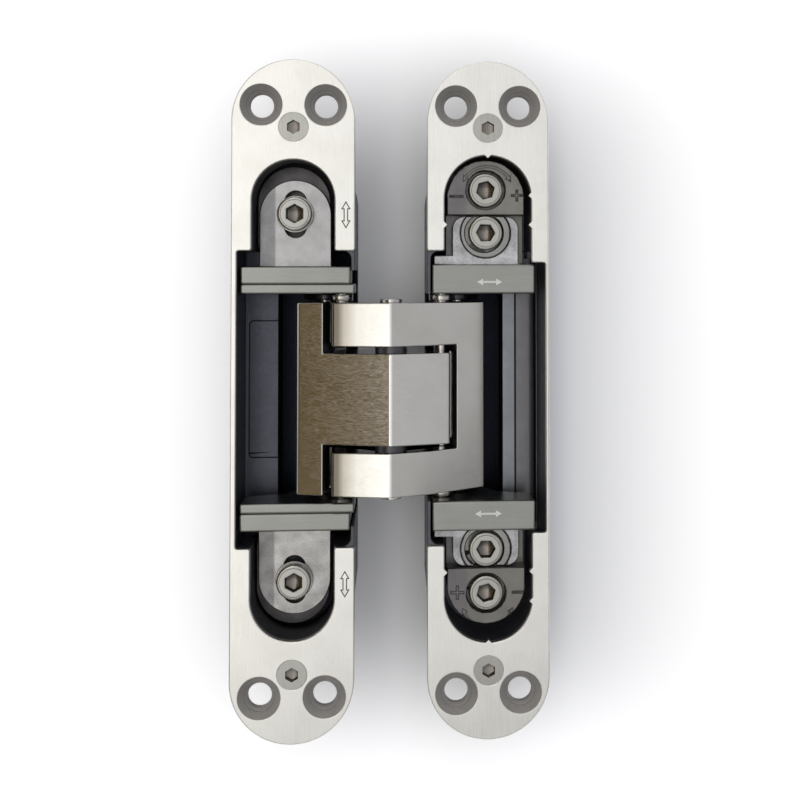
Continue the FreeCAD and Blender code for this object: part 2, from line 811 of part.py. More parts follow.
def bar_profile(hand, near_x, far_x):
    """Side view of a crossbar with the lug that reaches down to the lever pin."""
    near_x, far_x = size(near_x), size(far_x)
    lug = size("lug_radius")
    return polygon([
        (hand * far_x, TOP - size("crossbar_drop")),
        (hand * far_x, TOP - size("bar_outer_drop")),
        (hand * size("bar_waist_x"), TOP - size("bar_waist_drop")),
        (hand * (LEVER_X + lug), LEVER_Z),
        (hand * (LEVER_X - lug), LEVER_Z),
        (hand * near_x, TOP - size("bar_inner_drop")),
        (hand * near_x, TOP - size("crossbar_drop")),
    ])


def pin_bores(body, hand, low, high):
    cut_y(body, low, high, circle(hand * MAIN_X, MAIN_Z, size("main_pin_radius") + size("seat_fit")))
    cut_y(body, low, high, circle(hand * LEVER_X, LEVER_Z, size("lever_pin_radius") + size("seat_fit")))


def ease_bar(body, low, high):
    """Round the upper edges of a crossbar."""
    top = (TOP - size("crossbar_drop")).number
    dress(body, "Fillet", "Radius", "crossbar_round",
          lambda edge: lies_at(edge, "Z", top) and low.number - TOUCH < edge.CenterOfMass.y
          and edge.CenterOfMass.y < high.number + TOUCH)


def bearing_plate(side):
    """The steel plate that the left pins turn in, on the inner face of a left carrier."""
    place = "upper" if side > 0 else "lower"
    body = new_body(f"{place}_left_bearing")
    low, high = span(side, CARRIER_NEAR, BEARING_FAR)
    pad_y(body, low, high, bar_profile(-1, "bearing_near_x", "left_bar_far_x"))
    pad_y(body, low, high, circle(-LEVER_X, LEVER_Z, "lug_radius"))
    pin_bores(body, -1, low, high)
    ease_bar(body, low, high)


def left_carrier(side):
    """A crossbar and the slotted tongue that the height is set with."""
    place = "upper" if side > 0 else "lower"
    body = new_body(f"{place}_left_carrier")
    low, high = span(side, BEARING_FAR, LEFT_BAR_FAR)
    pad_y(body, low, high, bar_profile(-1, "left_bar_near_x", "left_bar_far_x"))
    pad_y(body, low, high, circle(-LEVER_X, LEVER_Z, "lug_radius"))
    ease_bar(body, low, high)
    half = size("left_tongue_width") / 2
    tongue_top = TOP - size("left_tongue_drop")
    seat = TOP - size("left_pad_drop") + size("slide_gap")
    root_y = side * (LEFT_BAR_FAR - size("tongue_bury"))
    tip = side * (REACH["left_tongue"] - half)
    pad_z(body, seat, tongue_top, stadium((-PLATE_X, root_y + side * half), (-PLATE_X, tip), half))
    pad_z(body, seat, tongue_top, tongue_root(side, -PLATE_X, half, LEFT_BAR_FAR))
    reach = side * REACH["left_screw"]
    slide = size("height_slot_length") / 2 - size("height_slot_half")
    cut_z(body, seat, tongue_top, stadium((-PLATE_X, reach - slide), (-PLATE_X, reach + slide),
                                          "height_slot_half"))
    pin_low, pin_high = span(side, BEARING_FAR, BEARING_FAR + size("pin_depth"))
    pin_bores(body, -1, pin_low, pin_high)


def tongue_root(side, middle, half, bar_far):
    """The straight part of a tongue where it leaves its crossbar."""
    low, high = span(side, bar_far - size("tongue_bury"), bar_far + half)
    return box(middle - half, low, middle + half, high)


def right_carrier(side):
    """A crossbar and the open tongue that holds the clamp disc."""
    place = "upper" if side > 0 else "lower"
    body = new_body(f"{place}_right_carrier")
    low, high = span(side, CARRIER_NEAR, RIGHT_BAR_FAR)
    pad_y(body, low, high, bar_profile(1, "right_bar_near_x", "right_bar_far_x"))
    pad_y(body, low, high, circle(LEVER_X, LEVER_Z, "lug_radius"))
    ease_bar(body, low, high)
    half = size("right_tongue_width") / 2
    tongue_top = TOP - size("right_tongue_drop")
    tongue_bottom = tongue_top - size("right_tongue_thick")
    middle = size("adjuster_x")
    tip = side * (REACH["block_step"] - size("step_gap")) + size("block_shift")
    root_y = side * (RIGHT_BAR_FAR - size("tongue_bury"))
    edges = sorted((tip, root_y), key=lambda edge: edge.number)
    pad_z(body, tongue_bottom, tongue_top, box(middle - half, edges[0], middle + half, edges[1]))
    ledge_far = side * (RIGHT_BAR_FAR + size("ledge_length"))
    ledge = sorted((ledge_far, root_y), key=lambda edge: edge.number)
    ledge_x = size("right_bar_near_x") + size("ledge_inset")
    pad_z(body, tongue_bottom, tongue_top,
          box(ledge_x, ledge[0], ledge_x + size("ledge_width"), ledge[1]))

    def tip_corner(edge):
        return runs_along(edge, "Z") and abs(edge.CenterOfMass.y - tip.number) < TOUCH
    dress(body, "Fillet", "Radius", "eye_radius", tip_corner)
    cut_z(body, tongue_bottom, tongue_top,
          circle(middle, disc_y(side), "disc_pocket_radius"))
    pin_bores(body, 1, low, high)


def disc_y(side):
    return side * REACH["disc"] + size("block_shift")


def clamp_disc(side):
    """The clamp disc in the open tongue, with one flat beside the depth block."""
    place = "upper" if side > 0 else "lower"
    body = new_body(f"{place}_clamp_disc")
    middle = size("adjuster_x")
    top = TOP - size("right_tongue_drop") - size("disc_gap")
    bottom = TOP - size("right_tongue_drop") - size("right_tongue_thick") + size("slide_gap")
    radius = size("disc_pocket_radius") - size("disc_gap")
    pad_z(body, bottom, top, circle(middle, disc_y(side), radius))
    flat = side * (REACH["block_step"] - size("step_gap")) + size("block_shift")
    beyond = flat + side * radius
    edges = sorted((flat, beyond), key=lambda edge: edge.number)
    cut_z(body, bottom, top, box(middle - radius, edges[0], middle + radius, edges[1]))
    cut_z(body, top - size("disc_recess"), top,
          circle(middle - size("recess_shift"), disc_y(side), "recess_radius"))
    cut_z(body, bottom, top, circle(middle, disc_y(side), size("screw_shank_radius") + size("seat_fit")))
    dress(body, "Chamfer", "Size", "plate_chamfer", lambda edge: lies_at(edge, "Z", top.number))


def depth_block(side):
    """The block in the slot of the right half: a high round end and a low step under the tongue."""
    place = "upper" if side > 0 else "lower"
    body = new_body(f"{place}_depth_block")
    half = size("block_width") / 2
    middle = size("adjuster_x")
    shift = size("block_shift")
    top = TOP - size("block_drop")
    bottom = top - size("block_thick")
    step_top = TOP - size("right_tongue_drop") - size("right_tongue_thick") - size("slide_gap")
    near = side * (RIGHT_BAR_FAR + size("step_gap"))
    step = side * REACH["block_step"] + shift
    far = side * (REACH["block_far"] - half) + shift
    edges = sorted((near, far), key=lambda edge: edge.number)
    pad_z(body, bottom, step_top, box(middle - half, edges[0], middle + half, edges[1]))
    pad_z(body, bottom, top, circle(middle, far, half))
    edges = sorted((step, far), key=lambda edge: edge.number)
    pad_z(body, bottom, top, box(middle - half, edges[0], middle + half, edges[1]))
    beyond = step - side * size("block_width")
    edges = sorted((step, beyond), key=lambda edge: edge.number)
    cut_z(body, step_top, top, box(middle - half, edges[0], middle + half, edges[1]))
    screw_y = side * REACH["depth_screw"] + shift
    head_room = size("screw_head_radius") + size("bore_ring")
    head_floor = top - size("right_head_height")
    cut_z(body, head_floor, top, circle(middle, screw_y, head_room))
    cut_z(body, bottom, top, circle(middle, screw_y, size("screw_shank_radius") + size("seat_fit")))
    slot_half = size("screw_shank_radius") + size("run_fit")
    slot_low = middle - size("side_return") - size("nut_gap")
    slot_high = middle + size("side_travel") + size("nut_gap")
    cut_z(body, bottom, step_top,
          stadium((slot_low, disc_y(side)), (slot_high, disc_y(side)), slot_half))
    nut_half = size("nut_width") / 2 + size("nut_gap")
    cut_z(body, bottom, bottom + size("nut_thick") + size("nut_gap"),
          box(middle - size("side_return") - nut_half, disc_y(side) - nut_half,
              middle + size("side_travel") + nut_half, disc_y(side) + nut_half))
    dress(body, "Chamfer", "Size", "plate_chamfer", lambda edge: lies_at(edge, "Z", top.number))


def clamp_nuts():
    """Square nuts under the depth blocks."""
    body = new_body("right_clamp_nuts")
    middle = size("adjuster_x")
    block_bottom = TOP - size("block_drop") - size("block_thick")
    low = block_bottom + size("nut_gap") / 2
    half = size("nut_width") / 2
    for side in (1, -1):
        pad_z(body, low, low + size("nut_thick"),
              box(middle - half, disc_y(side) - half, middle + half, disc_y(side) + half))
        cut_z(body, low, low + size("nut_thick"),
              circle(middle, disc_y(side), size("screw_shank_radius") + size("seat_fit")))


def hexagon(across, along, key, start):
    """A hexagon across flats of one key size."""
    across, along = size(across), size(along)
    corner = size(key) / root(size(3))
    return polygon([(across + corner * cosine(size(start) + HEXAGON_STEP * index),
                     along + corner * sine(size(start) + HEXAGON_STEP * index)) for index in range(6)])


def socket_screws(label, places, seat, head_height, length, start):
    """Cylinder-head screws: head on its seat, shank below, hexagon socket above."""
    body = new_body(label)
    seat = size(seat)
    top = seat + head_height
    for across, along in places:
        pad_z(body, seat, top, circle(across, along, "screw_head_radius"))
        pad_z(body, seat - length, seat, circle(across, along, "screw_shank_radius"))
    dress(body, "Chamfer", "Size", "head_chamfer", lambda edge: lies_at(edge, "Z", top.number))
    cut_z(body, top - size("socket_depth"), top,
          *[hexagon(across, along, "screw_key", start) for across, along in places])


def plate_screws(hand):
    """The two small countersunk screws that hold a cover plate to its housing."""
    name = "left" if hand < 0 else "right"
    body = new_body(f"{name}_plate_screws")
    shank = size("plate_screw_shank")
    cone = size("plate_screw_head") - shank
    top = TOP - size("plate_screw_play")
    for across, along in plate_screw_places(hand):
        tip = PLATE_BOTTOM - size("plate_screw_length") + size("bore_spare")
        pad_z(body, tip, top, circle(across, along, shank))
        head = pad_z(body, top - cone, top, circle(across, along, shank))
        head.TaperAngle = COUNTERSINK_ANGLE / 2
    cut_z(body, top - size("socket_depth"), top,
          *[hexagon(across, along, "plate_screw_key", "plate_socket_angle")
            for across, along in plate_screw_places(hand)])


def build():
    for hand in (-1, 1):
        cover_plate(hand)
        housing(hand)
        plate_screws(hand)
        for side in (1, -1):
            lever_plate(hand, side)
    for side in (1, -1):
        left_carrier(side)
        bearing_plate(side)
        right_carrier(side)
        clamp_disc(side)
        depth_block(side)
    fork_arm()
    t_arm()
    pins_and_rings()
    screws()


def pins_and_rings():
    centre_pin()
    pin_far = BEARING_FAR + size("pin_depth") - size("bore_spare")
    lever_far = BEARING_FAR + size("lever_pin_depth")
    stubs = [span(side, size("notch_reach"), pin_far) for side in (1, -1)]
    straight_pins("left_main_pins", -MAIN_X, MAIN_Z, "main_pin_radius", stubs)
    long_far = RIGHT_BAR_FAR - size("bore_spare")
    straight_pins("right_main_pin", MAIN_X, MAIN_Z, "main_pin_radius", [(-long_far, long_far)])
    tail_far = LEVER_FAR
    straight_pins("left_tail_pin", -TAIL_X, TAIL_Z, "lever_pin_radius", [(-tail_far, tail_far)])
    straight_pins("right_tail_pin", TAIL_X, TAIL_Z, "lever_pin_radius", [(-tail_far, tail_far)])
    for hand, name in ((-1, "left"), (1, "right")):
        stretches = [span(side, LEVER_NEAR, lever_far) for side in (1, -1)]
        straight_pins(f"{name}_lever_pins", hand * LEVER_X, LEVER_Z, "lever_pin_radius", stretches)
        rings(f"{name}_pivot_collars", hand * MAIN_X, MAIN_Z, "collar_radius",
              size("main_pin_radius") + size("seat_fit"), LEVER_NEAR, LEVER_FAR)
    rings("centre_washers", 0, CENTRE_Z, "washer_radius", size("main_pin_radius") + size("seat_fit"),
          size("tongue_reach") + size("seat_fit"), size("notch_reach") - size("seat_fit"))


def screws():
    """The M5 screws of both halves and the washers under the left heads."""
    left_places = [(-PLATE_X, side * REACH["left_screw"]) for side in (1, -1)]
    washer_low = TOP - size("left_tongue_drop") + size("slide_gap")
    washer_high = washer_low + size("clamp_washer_thick")
    body = new_body("left_clamp_washers")
    for across, along in left_places:
        pad_z(body, washer_low, washer_high, circle(across, along, "clamp_washer_radius"),
              circle(across, along, size("screw_shank_radius") + size("seat_fit")))
    left_length = washer_high - (TOP - size("left_pad_drop")) + size("screw_bite")
    socket_screws("left_clamp_screws", left_places, washer_high, size("left_head_height"), left_length,
                  "left_socket_angle")
    right_places = [(size("adjuster_x"), disc_y(side)) for side in (1, -1)]
    disc_seat = TOP - size("right_tongue_drop") - size("disc_gap") - size("disc_recess")
    nut_bottom = TOP - size("block_drop") - size("block_thick") + size("nut_gap") / 2
    socket_screws("right_clamp_screws", right_places, disc_seat, size("right_head_height"),
                  disc_seat - nut_bottom, "clamp_socket_angle")
    clamp_nuts()
    depth_places = [(size("adjuster_x"), side * REACH["depth_screw"] + size("block_shift"))
                    for side in (1, -1)]
    head_floor = TOP - size("block_drop") - size("right_head_height")
    depth_length = head_floor - (TOP - size("right_pad_drop")) + size("screw_bite")
    socket_screws("depth_screws", depth_places, head_floor, size("right_head_height"), depth_length,
                  "depth_socket_angle")


def check_and_export():
    doc.recompute()
    faults = [item.Name for item in doc.Objects if {"Invalid", "Error"} & set(item.State)]
    for item in doc.Objects:
        if item.TypeId == "PartDesign::Pocket" and item.BaseFeature is not None:
            if item.Shape.Volume > item.BaseFeature.Shape.Volume - 1e-6:
                faults.append(f"{item.Name} cuts nothing")
    for body in nodes:
        if body.Shape.isNull() or not body.Shape.isValid():
            faults.append(f"{body.Label} has no valid shape")
    if faults:
        raise RuntimeError("; ".join(faults))
    os.makedirs("parts", exist_ok=True)
    for body in nodes:
        body.Shape.exportStep(f"parts/{body.Label}.step")


build()
check_and_export()
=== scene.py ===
import json
import math

import bpy
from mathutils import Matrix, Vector

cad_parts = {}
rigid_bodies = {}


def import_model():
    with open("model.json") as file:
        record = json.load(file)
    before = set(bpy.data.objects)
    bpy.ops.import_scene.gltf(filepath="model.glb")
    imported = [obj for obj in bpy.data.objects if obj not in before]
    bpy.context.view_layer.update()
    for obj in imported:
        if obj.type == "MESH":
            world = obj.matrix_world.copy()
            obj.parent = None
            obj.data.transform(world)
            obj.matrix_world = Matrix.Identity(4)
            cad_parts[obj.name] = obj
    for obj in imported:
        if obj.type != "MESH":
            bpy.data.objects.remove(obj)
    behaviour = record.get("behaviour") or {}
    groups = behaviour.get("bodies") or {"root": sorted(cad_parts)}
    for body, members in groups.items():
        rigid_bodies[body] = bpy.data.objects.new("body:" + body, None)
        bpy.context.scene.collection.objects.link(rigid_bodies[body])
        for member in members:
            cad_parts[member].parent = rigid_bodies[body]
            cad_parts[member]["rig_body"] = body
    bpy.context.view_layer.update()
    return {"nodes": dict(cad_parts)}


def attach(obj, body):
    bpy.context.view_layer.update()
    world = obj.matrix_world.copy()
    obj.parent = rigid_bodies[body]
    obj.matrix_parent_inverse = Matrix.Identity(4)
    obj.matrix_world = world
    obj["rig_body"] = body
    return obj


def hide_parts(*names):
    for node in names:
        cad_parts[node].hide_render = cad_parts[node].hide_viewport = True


MM = 0.001
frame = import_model()
bpy.ops.object.select_all(action="DESELECT")
scene = bpy.context.scene
scene.view_settings.view_transform = "Standard"


# Camera at the photograph's place, almost straight above the open hinge.

IMAGE_SIZE = 800.0
FOCAL_PIXELS = 1045.5
SENSOR_WIDTH = 36.0
CAMERA_PLACE = (0.99, 31.63, 281.85)
CAMERA_TURN = (1.444, -3.333, 0.0)
camera_data = bpy.data.cameras.new("camera")
camera_data.sensor_width = SENSOR_WIDTH
camera_data.lens = SENSOR_WIDTH * FOCAL_PIXELS / IMAGE_SIZE
camera_data.shift_x = -0.07
camera_data.shift_y = -0.198
camera_data.clip_start = 0.01
camera_data.clip_end = 20.0
camera = bpy.data.objects.new("camera", camera_data)
scene.collection.objects.link(camera)
camera.location = Vector(CAMERA_PLACE) * MM
camera_turn = Vector(CAMERA_TURN)
axis = camera_turn.normalized()
camera.rotation_mode = "AXIS_ANGLE"
camera.rotation_axis_angle = (math.radians(camera_turn.length), axis.x, axis.y, axis.z)
scene.camera = camera


# Finishes. Grain runs along one axis of the object and is finer than a millimetre across.

WHITE = (1.0, 1.0, 1.0)
EVEN = (1.0, 1.0, 1.0)


def lighter(colour, amount):
    return tuple(min(1.0, channel * amount) for channel in colour)


def material(name, colour, roughness, metallic=1.0):
    made = bpy.data.materials.new(name)
    made.use_nodes = True
    shader = made.node_tree.nodes["Principled BSDF"]
    shader.inputs["Base Color"].default_value = (*colour, 1.0)
    shader.inputs["Metallic"].default_value = metallic
    shader.inputs["Roughness"].default_value = roughness
    return made


def noise(made, scale, stretch, detail):
    """A noise on the object's own coordinates, with its cells stretched along an axis."""
    nodes, links = made.node_tree.nodes, made.node_tree.links
    place = nodes.new("ShaderNodeTexCoord")
    mapping = nodes.new("ShaderNodeMapping")
    mapping.inputs["Scale"].default_value = stretch
    texture = nodes.new("ShaderNodeTexNoise")
    texture.inputs["Scale"].default_value = scale
    texture.inputs["Detail"].default_value = detail
    links.new(place.outputs["Object"], mapping.inputs["Vector"])
    links.new(mapping.outputs["Vector"], texture.inputs["Vector"])
    return texture.outputs["Fac"]


def ramp(made, source, stops):
    """A colour ramp whose stops are a place and a colour."""
    node = made.node_tree.nodes.new("ShaderNodeValToRGB")
    band = node.color_ramp
    while len(band.elements) < len(stops):
        band.elements.new(0.5)
    for element, (place, colour) in zip(band.elements, stops):
        element.position = place
        element.color = (*colour, 1.0)
    made.node_tree.links.new(source, node.inputs["Fac"])
    return node.outputs["Color"]


def spread(made, source, low, high, to_low, to_high):
    node = made.node_tree.nodes.new("ShaderNodeMapRange")
    for label, number in (("From Min", low), ("From Max", high), ("To Min", to_low), ("To Max", to_high)):
        node.inputs[label].default_value = number
    made.node_tree.links.new(source, node.inputs["Value"])
    return node.outputs["Result"]


def along_axis(made, letter, stops):
    """A tone that changes along one axis of the object; the stops are millimetres and a colour."""
    nodes, links = made.node_tree.nodes, made.node_tree.links
    place = nodes.new("ShaderNodeTexCoord")
    parts = nodes.new("ShaderNodeSeparateXYZ")
    links.new(place.outputs["Object"], parts.inputs["Vector"])
    first, last = stops[0][0], stops[-1][0]
    share = spread(made, parts.outputs[letter], first * MM, last * MM, 0.0, 1.0)
    return ramp(made, share, [((stop - first) / (last - first), colour) for stop, colour in stops])


def times(made, first, second):
    """Two colours multiplied."""
    mix = made.node_tree.nodes.new("ShaderNodeMix")
    mix.data_type = "RGBA"
    mix.blend_type = "MULTIPLY"
    mix.inputs["Factor"].default_value = 1.0
    made.node_tree.links.new(first, mix.inputs["A"])
    made.node_tree.links.new(second, mix.inputs["B"])
    return mix.outputs["Result"]


def bump(made, source, strength, distance):
    node = made.node_tree.nodes.new("ShaderNodeBump")
    node.inputs["Strength"].default_value = strength
    node.inputs["Distance"].default_value = distance
    made.node_tree.links.new(source, node.inputs["Height"])
    made.node_tree.links.new(node.outputs["Normal"], made.node_tree.nodes["Principled BSDF"].inputs["Normal"])


def brushed(name, colour, along, fine, coarse, roughness, contrast, depth, zones=None, metallic=1.0):
    """Brushed metal: fine scratches and broader streaks along one axis, over a faint cloudy stain."""
    made = material(name, colour, roughness, metallic)
    shader = made.node_tree.nodes["Principled BSDF"]
    links = made.node_tree.links
    stretch = tuple(0.04 if letter == along else 1.0 for letter in "XYZ")
    scratches = noise(made, fine, stretch, 4.0)
    streaks = noise(made, coarse, stretch, 2.0)
    cloud = noise(made, 110.0, EVEN, 4.0)
    join = made.node_tree.nodes.new("ShaderNodeMath")
    join.operation = "MULTIPLY_ADD"
    join.inputs[1].default_value = 0.7
    links.new(scratches, join.inputs[0])
    links.new(spread(made, streaks, 0.3, 0.7, 0.0, 0.3), join.inputs[2])
    tone = ramp(made, join.outputs[0], [(0.25, lighter(colour, 1.0 - contrast)),
                                        (0.5, colour), (0.75, lighter(colour, 1.0 + contrast))])
    stain = ramp(made, cloud, [(0.35, (0.95, 0.945, 0.94)), (0.6, WHITE)])
    tone = times(made, tone, stain)
    if zones:
        tone = times(made, tone, along_axis(made, *zones))
    links.new(tone, shader.inputs["Base Color"])
    links.new(spread(made, join.outputs[0], 0.2, 0.8, roughness - 0.06, roughness + 0.08),
              shader.inputs["Roughness"])
    bump(made, join.outputs[0], 0.35, depth)
    return made


def cast(name, colour, roughness, grain, depth, metallic=0.9, mottle=0.14, zones=None):
    """Die-cast metal: a pebbled skin with cloudy tone."""
    made = material(name, colour, roughness, metallic)
    shader = made.node_tree.nodes["Principled BSDF"]
    links = made.node_tree.links
    pebbles = noise(made, grain, EVEN, 3.0)
    cloud = noise(made, 240.0, EVEN, 5.0)
    tone = ramp(made, cloud, [(0.3, lighter(colour, 1.0 - mottle)), (0.7, lighter(colour, 1.0 + mottle))])
    speck = ramp(made, pebbles, [(0.3, lighter(WHITE, 1.0 - mottle)), (0.6, WHITE)])
    tone = times(made, tone, speck)
    if zones:
        tone = times(made, tone, along_axis(made, *zones))
    links.new(tone, shader.inputs["Base Color"])
    links.new(spread(made, pebbles, 0.3, 0.7, roughness - 0.08, roughness + 0.1), shader.inputs["Roughness"])
    bump(made, pebbles, 0.5, depth)
    return made


PLATE_STEEL = brushed("brushed_plate_steel", (0.80, 0.79, 0.755), "Y", 6500.0, 2600.0, 0.3, 0.06, 0.000008)
ARM_NICKEL = brushed("brushed_arm_nickel", (0.70, 0.69, 0.67), "X", 6200.0, 3400.0, 0.17, 0.03, 0.0000015)
# Painted shade: the fork's prongs darken over their last few millimetres, towards the gap at their free ends.
TIP_PAINTED_SHADE = ("X", [(-16.0, (0.24, 0.22, 0.19)), (-12.7, (0.3, 0.28, 0.24)), (-11.3, (0.7, 0.68, 0.63)),
                   (-8.0, WHITE), (25.0, WHITE)])
FORK_NICKEL = brushed("brushed_fork_nickel_painted_tip_shade", (0.70, 0.69, 0.67), "X", 6200.0, 3400.0, 0.17, 0.03, 0.0000015,
                      TIP_PAINTED_SHADE)
# Painted shade: a near-black finish for the faces where the arms meet end to end, their cut-back ends, and
# the T-shaped arm's outer edge.
ARM_SHADE = cast("arm_painted_shade", (0.035, 0.035, 0.04), 0.4, 2600.0, 0.000008)
BAR_NICKEL = brushed("brushed_bar_nickel", (0.30, 0.305, 0.285), "X", 4200.0, 1100.0, 0.3, 0.08, 0.00001)
# Painted shade: the left tongues are darker outward of -28.4 mm, as a facet turned from the light would be;
# their top is flat.
LEFT_FACET_PAINTED_SHADE = ("X", [(-33.0, (0.52, 0.52, 0.53)), (-28.9, (0.56, 0.56, 0.57)), (-28.4, WHITE), (-14.0, WHITE)])
TONGUE_STEEL = cast("sintered_tongue_steel_painted_facet_shade", (0.43, 0.425, 0.43), 0.34, 2600.0, 0.000015, 1.0, 0.15,
                    LEFT_FACET_PAINTED_SHADE)
COARSE_STEEL = cast("coarse_tongue_steel_painted_facet_shade", (0.47, 0.46, 0.45), 0.36, 2100.0, 0.00003, 1.0, 0.28, LEFT_FACET_PAINTED_SHADE)
# Painted shade and painted light: the depth blocks are darker inward of 18.5 mm and lighter outward of 19 mm,
# as lit facets would be; their top is flat.
BLOCK_FACET_PAINTED_SHADE_AND_LIGHT = ("X", [(13.0, (0.9, 0.88, 0.94)), (18.5, (0.92, 0.9, 0.96)), (19.0, (1.06, 1.06, 1.04)),
                     (34.0, (1.16, 1.16, 1.1))])
BLOCK_ZINC = cast("block_zinc_painted_facet_shade_and_light", (0.205, 0.198, 0.19), 0.4, 3000.0, 0.000012, 0.9, 0.12, BLOCK_FACET_PAINTED_SHADE_AND_LIGHT)
TONGUE_ZINC = cast("tongue_zinc", (0.48, 0.48, 0.495), 0.36, 1900.0, 0.00004, 0.9, 0.32)
DISC_ZINC = cast("disc_zinc", (0.30, 0.30, 0.29), 0.34, 2600.0, 0.00001, 0.95, 0.1)
# Painted shade: every face of a housing below 10.2 mm, deep in its pockets, is darkened to near black.
DEPTHS_PAINTED_SHADE = ("Z", [(0.0, (0.07, 0.08, 0.11)), (10.2, (0.09, 0.1, 0.14)), (10.35, WHITE), (27.0, WHITE)])
HOUSING_ZINC = cast("housing_zinc_painted_depth_shade", (0.11, 0.113, 0.13), 0.42, 2200.0, 0.00002, 0.9, 0.1, DEPTHS_PAINTED_SHADE)
WALL_ZINC = cast("wall_zinc", (0.17, 0.17, 0.21), 0.42, 2200.0, 0.00002, 0.9, 0.1)
SHELF_ZINC = cast("shelf_zinc", (0.082, 0.086, 0.105), 0.4, 2600.0, 0.000015, 0.9, 0.07)
STRIPS = ("X", [(24.0, WHITE), (31.9, WHITE), (32.3, (0.8, 0.76, 0.74)), (39.0, (0.8, 0.76, 0.74))])
SHELF_STRIPS = cast("shelf_strip_zinc", (0.26, 0.275, 0.3), 0.4, 2600.0, 0.000015, 0.9, 0.07, STRIPS)
# Painted shade: a near-black finish for the faces of grooves and bands cut where a corner or a slot wall lies
# in shadow.
DITCH_PAINTED_SHADE = cast("ditch_painted_shade", (0.012, 0.012, 0.016), 0.5, 2200.0, 0.00002, 0.6)
SEAT = cast("seat_zinc", (0.145, 0.138, 0.14), 0.42, 2400.0, 0.00002, 0.9, 0.2)
SCREW_STEEL = brushed("screw_steel", (0.42, 0.415, 0.39), "Y", 3600.0, 1300.0, 0.26, 0.08, 0.00001)
# Painted shade: a dark finish inside the hexagon sockets and in the thin ring cut round a cap screw's head.
SOCKET_PAINTED_SHADE = cast("socket_painted_shade", (0.24, 0.22, 0.20), 0.3, 3600.0, 0.000006, 1.0, 0.12)
# Painted shade: the cones of the countersunk holes take a dull dark finish in place of the plate's steel; the
# same finish falls on the housings' faces at the screw holes.
SINK_PAINTED_SHADE = brushed("countersink_painted_shade", (0.28, 0.27, 0.26), "Y", 3600.0, 1300.0, 0.45, 0.08, 0.00001, None, 0.1)
PIN_STEEL = cast("pin_steel", (0.62, 0.61, 0.59), 0.2, 4200.0, 0.000006, 1.0, 0.06)
LEVER_STEEL = cast("lever_steel", (0.10, 0.10, 0.11), 0.34, 2600.0, 0.000012)
GROOVE = material("groove_shadow", (0.10, 0.098, 0.095), 0.6, 0.5)
PALE_GROOVE = material("pale_groove", (0.72, 0.72, 0.70), 0.45, 0.4)


# Working steps that several pieces share.

def enter(*objects):
    bpy.ops.object.select_all(action="DESELECT")
    for item in objects:
        item.select_set(True)
    bpy.context.view_layer.objects.active = objects[0]


def slab(name, outline, low, high, finish, line=None):
    """A flat solid over an outline in millimetres, or only a line of it as wide as asked."""
    bpy.ops.mesh.primitive_circle_add(vertices=len(outline), radius=MM, fill_type="NGON")
    piece = bpy.context.object
    piece.name = name
    for corner, (across, along) in zip(piece.data.vertices, outline):
        corner.co = Vector((across, along, low)) * MM
    bpy.ops.object.mode_set(mode="EDIT")
    bpy.ops.mesh.select_all(action="SELECT")
    if line:
        bpy.ops.mesh.inset(thickness=line * MM, depth=0.0)
        bpy.ops.mesh.delete(type="FACE")
        bpy.ops.mesh.select_all(action="SELECT")
    bpy.ops.mesh.extrude_region_move(TRANSFORM_OT_translate={"value": (0.0, 0.0, (high - low) * MM)})
    bpy.ops.mesh.select_all(action="SELECT")
    bpy.ops.mesh.normals_make_consistent(inside=False)
    bpy.ops.object.mode_set(mode="OBJECT")
    piece.data.materials.append(finish)
    return piece


def carve(piece, cutter, operation="DIFFERENCE", tangled=False):
    """Cut a solid out of a skin, or join it on; the new faces take the cutter's finish.

    The rounded edges of a housing cross each other in places. Such a skin is carved as a tangled one,
    because it otherwise comes out inside out.
    """
    enter(piece)
    cut = piece.modifiers.new("carve", "BOOLEAN")
    cut.operation = operation
    cut.solver = "EXACT"
    cut.use_self = tangled
    cut.material_mode = "TRANSFER"
    cut.object = cutter
    bpy.ops.object.modifier_apply(modifier="carve")
    bpy.data.objects.remove(cutter)


def finish_faces(piece, finish, wanted):
    """Give the faces that the test picks out a finish of their own."""
    if finish.name not in piece.data.materials:
        piece.data.materials.append(finish)
    number = piece.data.materials.find(finish.name)
    for face in piece.data.polygons:
        if wanted(face):
            face.material_index = number


def double_arrow(across, along, length, half_head, head, half_stem, upright=True):
    """The outline of a straight arrow with two heads."""
    half = length / 2
    neck = half - head
    corners = [(0, half), (-half_head, neck), (-half_stem, neck), (-half_stem, -neck), (-half_head, -neck),
               (0, -half), (half_head, -neck), (half_stem, -neck), (half_stem, neck), (half_head, neck)]
    if not upright:
        corners = [(-y, x) for x, y in corners]
    return [(across + x, along + y) for x, y in corners]


def plus_sign(across, along, reach, half):
    corners = [(half, half), (half, reach), (-half, reach), (-half, half), (-reach, half), (-reach, -half),
               (-half, -half), (-half, -reach), (half, -reach), (half, -half), (reach, -half), (reach, half)]
    return [(across + x, along + y) for x, y in corners]


def minus_sign(across, along, half_length, half):
    corners = [(half_length, half), (-half_length, half), (-half_length, -half), (half_length, -half)]
    return [(across + x, along + y) for x, y in corners]


def curved_arrow(across, along, radius, half_band, half_head, span, head_span, side):
    """The outline of an arrow with two heads, bent over a screw."""
    def at(distance, degrees):
        angle = math.radians(degrees)
        return across + distance * math.sin(angle), along + side * distance * math.cos(angle)
    steps = [-span + 2 * span * index / 14 for index in range(15)]
    outer = [at(radius + half_band, degrees) for degrees in steps]
    inner = [at(radius - half_band, degrees) for degrees in reversed(steps)]
    right = [at(radius + half_head, span), at(radius, span + head_span), at(radius - half_head, span)]
    left = [at(radius - half_head, -span), at(radius, -span - head_span), at(radius + half_head, -span)]
    return outer + right + inner + left


